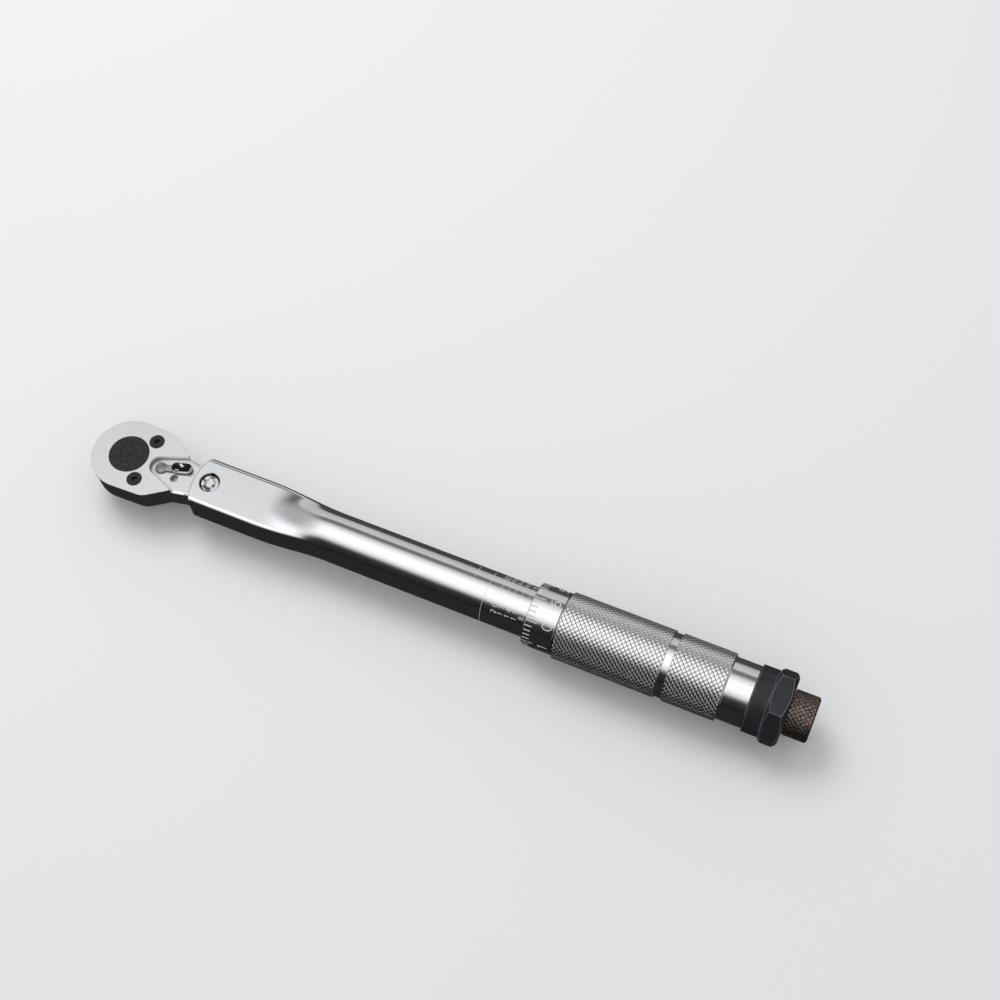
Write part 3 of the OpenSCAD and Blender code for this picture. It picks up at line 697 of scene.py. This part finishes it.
def build_knob():
    """The lock knob with its stem: the rod's hole and the retaining ring's groove are inside
    the handle, and the knurl ends in a plain chamfered rim round a shallow dish."""
    stem_x, rim_r = SLEEVE_END + 3, KNOB_R - 0.12
    ring_x1, ring_x2 = RING_GROOVE
    inside = [(KNOB_END - 2, 0, 0), (KNOB_END - 2, ROD_HOLE_R, 0), (stem_x, ROD_HOLE_R, 0.1),
              (stem_x, STEM_R, 0.3), (ring_x1, STEM_R, 0), (ring_x1, RING_GROOVE_R, 0),
              (ring_x2, RING_GROOVE_R, 0), (ring_x2, STEM_R, 0), (KNOB_X, STEM_R, 0)]
    outside = [(KNOB_X, KNOB_ROOT, 0.25), (KNOB_END - 0.85, KNOB_ROOT, 0.1),
               (KNOB_END - 0.8, rim_r, 0.1), (KNOB_END - 0.45, rim_r, 0.15),
               (KNOB_END, 7.25, 0.25), (KNOB_END, 5.4, 0.15), (KNOB_END - 0.25, 5.0, 0.15),
               (KNOB_END - 0.25, 0, 0)]
    knob = spin("lock_knob_turned", rounded(inside + outside), 120, [BRONZE])
    knob.data.set_sharp_from_angle(angle=math.radians(35))
    knurl(knob, KNOB_X + 0.1, KNOB_END - 0.7, KNOB_ROOT, KNOB_R, *KNOB_KNURL)
    finish_piece(even_normals(knob), "lock_knob", BRONZE, "lock_knob")


# ---------------------------------------------------------------- reversing lever

def stadium(half, r, z, at, steps=14):
    """Points of a rounded oblong along X with its centre at x = at, at height z."""
    ring = []
    for centre, start in ((at + half, -90), (at - half, 90)):
        for i in range(steps + 1):
            a = math.radians(start + 180 * i / steps)
            ring.append((centre + r * math.cos(a), r * math.sin(a), z))
    return ring


def stack(name, rings, material):
    """A closed body through rings of equal length."""
    n, verts, faces = len(rings[0]), [p for ring in rings for p in ring], []
    for a in range(0, len(verts) - n, n):
        b = a + n
        faces += [(a + j, a + (j + 1) % n, b + (j + 1) % n, b + j) for j in range(n)]
    faces += [tuple(range(n - 1, -1, -1)), tuple(range(len(verts) - n, len(verts)))]
    return mesh_object(name, verts, faces, [material])


def build_lever():
    """The drum with its domed hub, the thin arm and the oval thumb tab with a dished top."""
    arm_z, arm_top, shoulder, tab_x, tab_half, tab_r = 2.3, 3.05, 4.1, 7.9, 2.0, 1.75
    hub = rounded([(-2.6, 0, 0), (-2.6, 2.2, 0.2), (2.75, 2.2, 0.3), (3.2, 1.5, 0.5),
                   (3.28, 0, 0)], 5)
    lever = stood_up(spin("reversing_lever_cast", hub, 56, [LEVER]), 0)
    arm = [stadium(2.6, 1.3 - inset, z, 3.4) for z, inset in
           ((arm_z, 0.15), (arm_z + 0.12, 0.03), (arm_z + 0.2, 0), (arm_top - 0.3, 0),
            (arm_top - 0.1, 0.1), (arm_top, 0.3))]
    side = ((arm_z, tab_r - 0.2), (arm_z + 0.1, tab_r - 0.07), (arm_z + 0.25, tab_r),
            (shoulder, tab_r))
    tab = [stadium(tab_half, r, z, tab_x) for z, r in side]
    for i in range(1, 7):
        a = math.radians(80 * i / 6)
        inward = 1 - math.cos(a)
        tab.append(stadium(tab_half - 0.15 * inward, tab_r - 0.55 * inward,
                           shoulder + 0.62 * math.sin(a), tab_x))
    dish = ((1.7, 1.0, 4.66), (1.5, 0.7, 4.52), (1.3, 0.4, 4.45))
    tab += [stadium(half, r, z, tab_x) for half, r, z in dish]
    combine(lever, stack("arm", arm, LEVER), "UNION")
    combine(lever, stack("tab", tab, LEVER), "UNION")
    # the selector plunger's bore
    bore = spin("bore", [(-3.2, 0), (-3.2, 0.9), (1.4, 0.9), (1.4, 0)], 24, [LEVER])
    bore.data.transform(Matrix.Translation((0, 0, -0.5 * MM)))
    combine(lever, bore)
    turn = Matrix.Rotation(LEVER_REST, 4, "Z")
    lever.data.transform(Matrix.Translation((LEVER_X * MM, 0, 0)) @ turn)
    lever.data.set_sharp_from_angle(angle=math.radians(40))
    finish_piece(even_normals(lever), "lever", LEVER, "reversing_lever")


# ---------------------------------------------------------------- build the wrench

build_tube()
build_tube_scale()
build_handle()
build_ring_scale()
build_knob()
build_lever()

# CAD nodes that are kept: finish, width of the softened edges in mm, and steps across them
for name, material, width, segments in (
        ("ratchet_head", SATIN, 0.28, 3), ("cover_plate", SATIN, 0.2, 3),
        ("cover_screws", BLACK, 0.06, 2), ("drive_gear", BLACK, 0.12, 2),
        ("end_nut", BLUED, 0.22, 3), ("pivot_pin", PIN, 0.1, 3)):
    dress(name, material, width, segments)
for name, material in (
        ("socket_ball", BALL), ("thrust_ball", BALL), ("lock_balls", BALL),
        ("socket_ball_spring", SPRING), ("selector_spring", SPRING), ("main_spring", SPRING)):
    dress(name, material, 0)
for name, material in (
        ("selector_plunger", BRASS), ("pawl", STEEL), ("tilt_block", STEEL),
        ("thrust_plunger", STEEL), ("spring_seat", STEEL), ("adjusting_screw", STEEL),
        ("tube_nut", STEEL), ("tube_nut_pins", STEEL), ("knob_ring", SPRING),
        ("lock_rod", STEEL)):
    dress(name, material)

# Each spring gets a mesh of its own. The table: joint, direction, fixed end, length at rest and
# travel, in mm
tilt = (math.cos(LEVER_REST), math.sin(LEVER_REST), 0)
for name, joint, axis, anchor, length, travel in (
        ("main_spring", "handle_turn", (1, 0, 0), (104.5, 0, 0), 43.5, 12.86),
        ("socket_ball_spring", "socket_ball_press", (1, 0, 0), (-0.98, 0, -10.5), 2.25, 0.5),
        ("selector_spring", "selector_plunger_press", tilt,
         (LEVER_X + 1.38 * tilt[0], 1.38 * tilt[1], -0.5), 2.28, 0.3)):
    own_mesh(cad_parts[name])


# ---------------------------------------------------------------- floor, light and camera

def build_floor():
    """A plain pale floor. Reflections see it dark, as the photographed wrench lies over black
    plastic that is a little lighter on the far side."""
    z, size = cad_box[0].z - 0.0002, 4.0
    corners = [(-size, -size, z), (size, -size, z), (size, size, z), (-size, size, z)]
    mesh = bpy.data.meshes.new("floor")
    mesh.from_pydata(corners, [], [(0, 1, 2, 3)])
    floor = bpy.data.objects.new("floor", mesh)
    bpy.context.scene.collection.objects.link(floor)
    s = Shader("floor_paint", Base_Color=(0.66, 0.665, 0.67, 1), Roughness=0.9)
    way = s.add("ShaderNodeSeparateXYZ")
    s.put(way.inputs[0], s.add("ShaderNodeNewGeometry").outputs["Incoming"])
    grey = s.add("ShaderNodeEmission")
    s.put(grey.inputs["Color"], s.mix(s.span(way.outputs[1], -0.15, 0.15, 0.0, 1.0),
                                      (0.062, 0.058, 0.060), (0.02, 0.021, 0.023)))

    def choose(factor, a, b):
        node = s.add("ShaderNodeMixShader")
        for socket, value in zip(node.inputs, (factor, a, b)):
            s.put(socket, value)
        return node.outputs[0]

    above = choose(s.add("ShaderNodeLightPath").outputs["Is Glossy Ray"],
                   s.bsdf.outputs[0], grey.outputs[0])
    # seen from underneath, the floor is clear
    whole = choose(s.add("ShaderNodeNewGeometry").outputs["Backfacing"],
                   above, s.add("ShaderNodeBsdfTransparent").outputs[0])
    out = next(n for n in s.tree.nodes if n.type == "OUTPUT_MATERIAL")
    s.put(out.inputs["Surface"], whole)
    mesh.materials.append(s.mat)


# The reflected studio: brightness at an angle round the wrench's long axis, in degrees from
# -180 to 180, where 90 is straight up, 0 is the far side and 180 the near side
STUDIO = ((-180, 0.012), (-130, 0.03), (-90, 0.02), (-60, 0.08), (-20, 0.10), (-6, 0.12),
          (2, 0.25), (9, 0.50), (34, 0.62), (40, 0.25), (45, 0.16), (52, 0.18), (58, 0.42),
          (64, 0.72), (68, 0.80), (76, 0.98), (84, 1.16), (112, 1.16), (122, 0.95),
          (130, 0.70), (138, 0.25), (144, 0.07), (152, 0.03), (180, 0.012))


def build_world():
    """Even soft light. Reflections see a studio: a wide softbox overhead, a grey wall on the
    far side, dark elsewhere, and plain grey past either end of the wrench."""
    world = bpy.data.worlds.new("studio")
    bpy.context.scene.world = world
    world.use_nodes = True
    world.cycles.sampling_method = "NONE"
    tree = world.node_tree
    tree.nodes.clear()

    def add(kind, *inputs, **settings):
        """A new node whose first inputs are linked or set in turn."""
        node = tree.nodes.new(kind)
        for key, value in settings.items():
            setattr(node, key, value)
        for socket, value in zip(node.inputs, inputs):
            if isinstance(value, bpy.types.NodeSocket):
                tree.links.new(value, socket)
            else:
                socket.default_value = value
        return node

    way = add("ShaderNodeSeparateXYZ", add("ShaderNodeTexCoord").outputs["Generated"]).outputs
    turn = add("ShaderNodeMath", way[2], way[1], operation="ARCTAN2").outputs[0]
    share = add("ShaderNodeMapRange", turn, -math.pi, math.pi)
    ramp = add("ShaderNodeValToRGB", share.outputs[0])
    marks = ramp.color_ramp.elements
    for i, (angle, value) in enumerate(STUDIO):
        place = (angle + 180) / 360
        last = i == len(STUDIO) - 1
        mark = marks[0] if i == 0 else marks[-1] if last else marks.new(place)
        mark.position, mark.color = place, (value * 0.98, value * 0.99, value, 1)
    # how far a reflection points along the wrench, from a little towards the head
    aside = add("ShaderNodeMath", way[0], 0.20, operation="ADD").outputs[0]
    aside = add("ShaderNodeMath", aside, operation="ABSOLUTE").outputs[0]
    whole = add("ShaderNodeMix", data_type="RGBA")
    tree.links.new(add("ShaderNodeMapRange", aside, 0.24, 0.38).outputs[0], whole.inputs[0])
    tree.links.new(ramp.outputs[0], whole.inputs[6])
    whole.inputs[7].default_value = (0.44, 0.445, 0.455, 1)
    studio = add("ShaderNodeBackground", whole.outputs[2])
    soft = add("ShaderNodeBackground", (0.97, 0.98, 1.0, 1), 0.85)
    glossy = add("ShaderNodeLightPath").outputs["Is Glossy Ray"]
    pick = add("ShaderNodeMixShader", glossy, soft.outputs[0], studio.outputs[0])
    add("ShaderNodeOutputWorld", pick.outputs[0])


def build_light():
    """One large soft lamp from the far left, for a gentle shadow on the floor."""
    data = bpy.data.lights.new("soft_lamp", "AREA")
    data.shape, data.size, data.energy = "DISK", 0.7, 6.0
    lamp = bpy.data.objects.new("soft_lamp", data)
    bpy.context.scene.collection.objects.link(lamp)
    target = Vector((0.13, 0, 0))
    lamp.location = target + Vector((-0.45, 0.35, 0.95))
    lamp.rotation_euler = (target - lamp.location).to_track_quat("-Z", "Y").to_euler()
    lamp.visible_glossy = False


def build_camera():
    """The photograph's view: from the near right, high up, rolled so that the wrench runs
    down to the right."""
    azimuth, elevation, roll = (math.radians(a) for a in (28.323, 61.484, -5.165))
    target, distance = Vector((0.131906, 0.036159, 0)), 0.552633
    back = Vector((math.sin(azimuth) * math.cos(elevation),
                   -math.cos(azimuth) * math.cos(elevation), math.sin(elevation)))
    level = Vector((math.cos(azimuth), math.sin(azimuth), 0))
    rise = back.cross(level)
    right = level * math.cos(roll) + rise * math.sin(roll)
    up = rise * math.cos(roll) - level * math.sin(roll)
    data = bpy.data.cameras.new("camera")
    data.lens, data.sensor_width = 55.618, 36.0
    data.clip_start, data.clip_end = 0.01, 20.0
    cam = bpy.data.objects.new("camera", data)
    bpy.context.scene.collection.objects.link(cam)
    aim = Matrix((right, up, back)).transposed().to_4x4()
    cam.matrix_world = Matrix.Translation(target + back * distance) @ aim
    bpy.context.scene.camera = cam


build_floor()
build_world()
build_light()
build_camera()
bpy.context.scene.view_settings.view_transform = "Standard"
